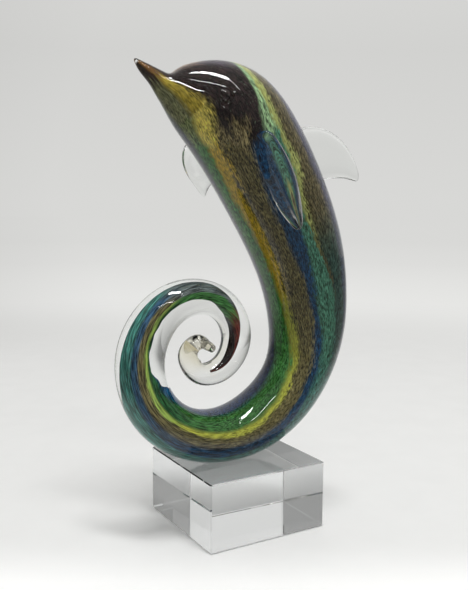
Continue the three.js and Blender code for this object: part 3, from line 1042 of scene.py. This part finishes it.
def core_material():
    shade = Shade("cased_colour")
    along = shade.attribute("core_along")
    radians = shade.math("RADIANS", shade.attribute("grain_angle"))
    cosine, sine = shade.math("COSINE", radians), shade.math("SINE", radians)

    # The coil was drawn out more than the trunk, and its grain with it
    curled = shade.step(along, *CURL)
    stretched = shade.math("MINIMUM", along, CURL_MIDDLE)
    beyond = shade.math("MAXIMUM", shade.math("SUBTRACT", along, CURL_MIDDLE), 0.0)
    stretched = shade.math("MULTIPLY_ADD", beyond, CURL_STRETCH, stretched)

    def grain(across, length, detail, roughness):
        """Noise that is fine across the bands and drawn out along them."""
        across = shade.range(curled, across, across * CURL_GIRTH)
        inputs = {
            "X": shade.math("MULTIPLY", cosine, across),
            "Y": shade.math("MULTIPLY", sine, across),
            "Z": shade.math("MULTIPLY", stretched, length),
        }
        place = shade.node("CombineXYZ", inputs).outputs[0]
        return shade.noise(place, 1.0, detail, roughness)

    def between(value, start, end):
        """1 between a place where it starts and one where it ends, and 0 beyond them."""
        return shade.math("MULTIPLY", shade.step(value, *start), shade.step(value, *end))

    wander, tufts, fur, specks = (grain(*settings) for settings in (WANDER, TUFTS, FUR, SPECKS))
    degrees = shade.math("ADD", shade.range(wander, *WANDER_DEGREES), shade.range(tufts, *TUFT_DEGREES))
    degrees = shade.math("ADD", degrees, shade.range(fur, *FUR_DEGREES))
    degrees = shade.math("MULTIPLY", degrees, shade.range(curled, 1.0, CURL_CALM))
    band = shade.math("MULTIPLY_ADD", degrees, shade.attribute("band_rise"), shade.attribute("band_place"))
    ragged = shade.math("ADD", along, shade.range(tufts, *ZONE_RAGGEDNESS))
    lean = shade.math("MULTIPLY", shade.step(band, *LEAN_BANDS), between(along, LEAN_START, LEAN_END))
    ragged = shade.math("MULTIPLY_ADD", lean, HEAD_LEAN, ragged)

    spot = shade.math("DIVIDE", band, BAND_COUNT)
    colour = shade.ramp(spot, band_stops(ZONES[0][2]))
    for start, width, colours in ZONES[1:]:
        amount = shade.step(ragged, start - width / 2, start + width / 2)
        colour = shade.mix(amount, colour, shade.ramp(spot, band_stops(colours)))
    amber = between(ragged, AMBER_START, AMBER_END)
    amber = shade.math("MULTIPLY", amber, shade.step(band, *AMBER_BANDS))
    colour = shade.mix(amber, colour, AMBER)

    depth = shade.math("MULTIPLY", shade.range(fur, *FUR_LIGHT), shade.range(tufts, *TUFT_LIGHT))
    calm = shade.math("MAXIMUM", between(band, *GOLD_BAND), between(band, *YELLOW_BAND))
    kept = shade.range(calm, 1.0, YELLOW_GRAIN)
    depth = shade.math("MULTIPLY_ADD", shade.math("SUBTRACT", depth, 1.0), kept, 1.0)
    depth = shade.math("MAXIMUM", depth, GRAIN_FLOOR)
    shadow = shade.node("CombineColor", {0: depth, 1: depth, 2: depth}).outputs[0]
    colour = shade.mix(1.0, colour, shadow, "MULTIPLY")
    light = shade.step(specks, *SPECK_EDGE, SPECK_SHARE)
    colour = shade.mix(light, colour, SPECK_COLOUR)
    shade.set(Base_Color=colour, Roughness=0.4, Specular_IOR_Level=0.0)
    return shade.material


# The casing's faint swirls
SWIRL_SCALE = 55.0
CASING_TONES = ((0.985, 0.99, 0.98, 1), (0.97, 0.985, 0.975, 1))
SWIRL_RELIEF = {"Strength": 0.12, "Distance": 0.0012}
# The glass turns amber towards the tail's tips: from how far off the coil's middle, in metres
AMBER_REACH = (0.010, 0.020)
AMBER_WAVER = (-0.004, 0.004)
AMBER_GLASS = (0.80, 0.76, 0.62, 1)
CRYSTAL_SCALE = 18.0
CRYSTAL_TONES = ((0.95, 0.96, 0.965, 1), (0.93, 0.945, 0.95, 1))


def glass_material():
    shade = Shade("clear_casing")
    place = shade.place()
    swirl = shade.noise(place, SWIRL_SCALE)
    tail = Vector((COIL_FORWARD, 0, COIL_HEIGHT)) * PART + Vector(ORIGIN)
    reach = shade.vector("DISTANCE", place, tail)
    reach = shade.math("ADD", reach, shade.range(swirl, *AMBER_WAVER))
    colour = shade.mix(shade.step(reach, *AMBER_REACH), AMBER_GLASS, shade.mix(swirl, *CASING_TONES))
    ripples = shade.node("Bump", {"Height": swirl, **SWIRL_RELIEF}).outputs[0]
    shade.set(Base_Color=colour, Roughness=0.0, IOR=GLASS_INDEX, Transmission_Weight=1.0, Normal=ripples)
    return shade.material


def crystal_material():
    shade = Shade("clear_crystal")
    colour = shade.mix(shade.noise(shade.place(), CRYSTAL_SCALE, 1.0), *CRYSTAL_TONES)
    shade.set(Base_Color=colour, Roughness=0.0, IOR=GLASS_INDEX, Transmission_Weight=1.0)
    return shade.material


FLOOR_RADIUS = 8.0
FLOOR_RINGS = [0.1, 0.3, 0.8, 2.0, FLOOR_RADIUS]
FLOOR_SIDES = 96
FLOOR_LEVEL = -0.0004
# Level directions: the camera's, and that of the middle of the bright backdrop
BACKDROP_SIDE = (0.507, 0.862, 0.0)
ROOM_SIDE = (0.649, 0.761, 0.0)
PAPER_COLOURS = ((0.79, 0.79, 0.78, 1), (0.84, 0.84, 0.83, 1))
PAPER_GRAIN = (30.0, 3.0, 0.6)
# The pale paper ends on the room's side, between these distances, after a foreground that glows brighter
# towards the camera: painted light, standing in for the lamps' light on the near floor
PAPER_END = (-0.085, -0.17)
# Cosines from the way that the camera looks, between which it ends at its sides
PAPER_SIDES = (0.95, 0.84)
# Painted light on the near paper: where its glow grows towards the camera, and how strong that glow is
FOREGROUND = (-0.03, -0.13)
FOREGROUND_PAINTED_GLOW = 0.3
PAPER_GLOW = 0.07
ROOM_FLOOR = (0.33, 0.33, 0.325, 1)
# Far off it curves up out of the light, which an even glow stands for: where that comes in, its
# tones by distance, and its share beside the paper
CURVED_UP = (0.5, 1.0)
PAPER_TONES = [(0.6, 222), (1.1, 226), (2.0, 217), (3.2, 213), (FLOOR_RADIUS, 212)]
SIDE_GLOW = 0.55
# The air's tone by how steeply it is seen
AIR_TONES = [(0.0, 212), (0.18, 206), (0.6, 225), (1.0, 250)]
# The backdrop is bright in its middle, and the room is dim beside and before it
ROOM_FALL = {"From Min": 0.36, "From Max": 0.92, "To Min": 0.44, "To Max": 1.04}
# How steep overhead is, and the least brightness there
OVERHEAD = (0.6, 0.9)
OVERHEAD_SHARE = 0.2


def make_floor():
    """Pale paper under the object, which fades into the backdrop far behind it."""
    turns = np.arange(FLOOR_SIDES) * 2 * np.pi / FLOOR_SIDES
    points = [(0, 0, FLOOR_LEVEL)]
    for radius in FLOOR_RINGS:
        points += [(radius * math.cos(turn), radius * math.sin(turn), FLOOR_LEVEL) for turn in turns]
    faces = [(0, 1 + k, 1 + (k + 1) % FLOOR_SIDES) for k in range(FLOOR_SIDES)]
    starts = [1 + i * FLOOR_SIDES for i in range(len(FLOOR_RINGS))]
    faces += faces_between(zip(starts[1:], starts), FLOOR_SIDES)
    floor = new_object("studio_floor", points, faces)

    shade = Shade("pale_paper")
    place = shade.place()
    backward = shade.vector("DOT_PRODUCT", place, BACKDROP_SIDE)
    from_camera = shade.vector("SUBTRACT", place, (*CAMERA_EYE[:2], 0))
    within = shade.vector("DOT_PRODUCT", shade.vector("NORMALIZE", from_camera), BACKDROP_SIDE)
    beside = shade.step(within, *PAPER_SIDES)
    ended = shade.math("MAXIMUM", shade.step(backward, *PAPER_END), beside)
    colour = shade.mix(shade.noise(place, *PAPER_GRAIN), *PAPER_COLOURS)
    # Painted light: the paper glows, more strongly towards the camera, except where it has ended
    painted_paper_glow = shade.math("MULTIPLY_ADD", shade.step(backward, *FOREGROUND), FOREGROUND_PAINTED_GLOW, PAPER_GLOW)
    painted_paper_glow = shade.math("MULTIPLY", painted_paper_glow, shade.math("SUBTRACT", 1.0, ended))
    shade.set(
        Base_Color=shade.mix(ended, colour, ROOM_FLOOR),
        Roughness=0.6,
        Specular_IOR_Level=0.2,
        Emission_Color=(1, 1, 1, 1),
        Emission_Strength=painted_paper_glow,
    )

    distance = shade.vector("LENGTH", place)
    stops = [(far / FLOOR_RADIUS, grey(tone)) for far, tone in PAPER_TONES]
    tones = shade.ramp(shade.math("DIVIDE", distance, FLOOR_RADIUS), stops)
    strength = shade.room_light(shade.vector("NORMALIZE", place))
    strength = shade.math("MULTIPLY", strength, shade.range(beside, 1.0, SIDE_GLOW))
    glow = shade.node("Emission", {"Color": tones, "Strength": strength})
    surfaces = {0: shade.step(distance, *CURVED_UP), 1: shade.shader.outputs[0], 2: glow.outputs[0]}
    blend = shade.node("MixShader", surfaces)
    shade.feed(shade.output.inputs["Surface"], blend.outputs[0])
    floor.data.materials.append(shade.material)


def make_strips(name, chain, width, radiance):
    """Narrow lights end to end along the chain, which face the object."""
    ends = [Vector(direction).normalized() * LIGHT_DISTANCE for direction in chain]
    for i, (start, end) in enumerate(zip(ends, ends[1:])):
        middle = (start + end) / 2
        out = middle.normalized()
        along = (end - start - out * (end - start).dot(out)).normalized()
        data = bpy.data.lights.new(f"{name}_{i}", "AREA")
        data.shape = "RECTANGLE"
        data.size = (end - start).length
        data.size_y = width
        data.energy = radiance * math.pi * data.size * data.size_y
        light = bpy.data.objects.new(f"{name}_{i}", data)
        turn = Matrix((along, out.cross(along), out)).transposed().to_4x4()
        light.matrix_world = Matrix.Translation(LIGHT_TARGET + middle) @ turn
        light.visible_camera = False
        bpy.context.scene.collection.objects.link(light)


def make_world():
    """Soft light from all round: pale towards the backdrop, dimmer behind the camera."""
    world = bpy.data.worlds.new("studio_air")
    world.use_nodes = True
    nodes = Nodes(world.node_tree)
    way = nodes.node("TexCoord").outputs["Generated"]
    height = nodes.node("SeparateXYZ", {0: way}).outputs["Z"]
    strength = nodes.math("MAXIMUM", nodes.room_light(way), nodes.step(height, *OVERHEAD, OVERHEAD_SHARE))
    colour = nodes.ramp(height, [(z, grey(tone)) for z, tone in AIR_TONES])
    background = nodes.node("Background", {"Color": colour, "Strength": strength})
    nodes.node("OutputWorld", {"Surface": background.outputs[0]})
    bpy.context.scene.world = world


def dress(piece, material):
    piece.data.materials.clear()
    piece.data.materials.append(material)
    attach(piece, "root")


make_camera()
glass = make_glass()
dress(glass, glass_material())
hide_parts("dolphin")
# Light reaches the core straight through its casing, which saves noise
glass.visible_shadow = False
core = make_core()
dress(core, core_material())
crystal = crystal_material()
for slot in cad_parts["crystal_block"].material_slots:
    slot.material = crystal
make_floor()
for name, strip in STRIPS.items():
    make_strips(name, *strip)
make_world()
bpy.context.scene.view_settings.view_transform = "Standard"
bpy.context.scene.cycles.sample_clamp_indirect = 3.0
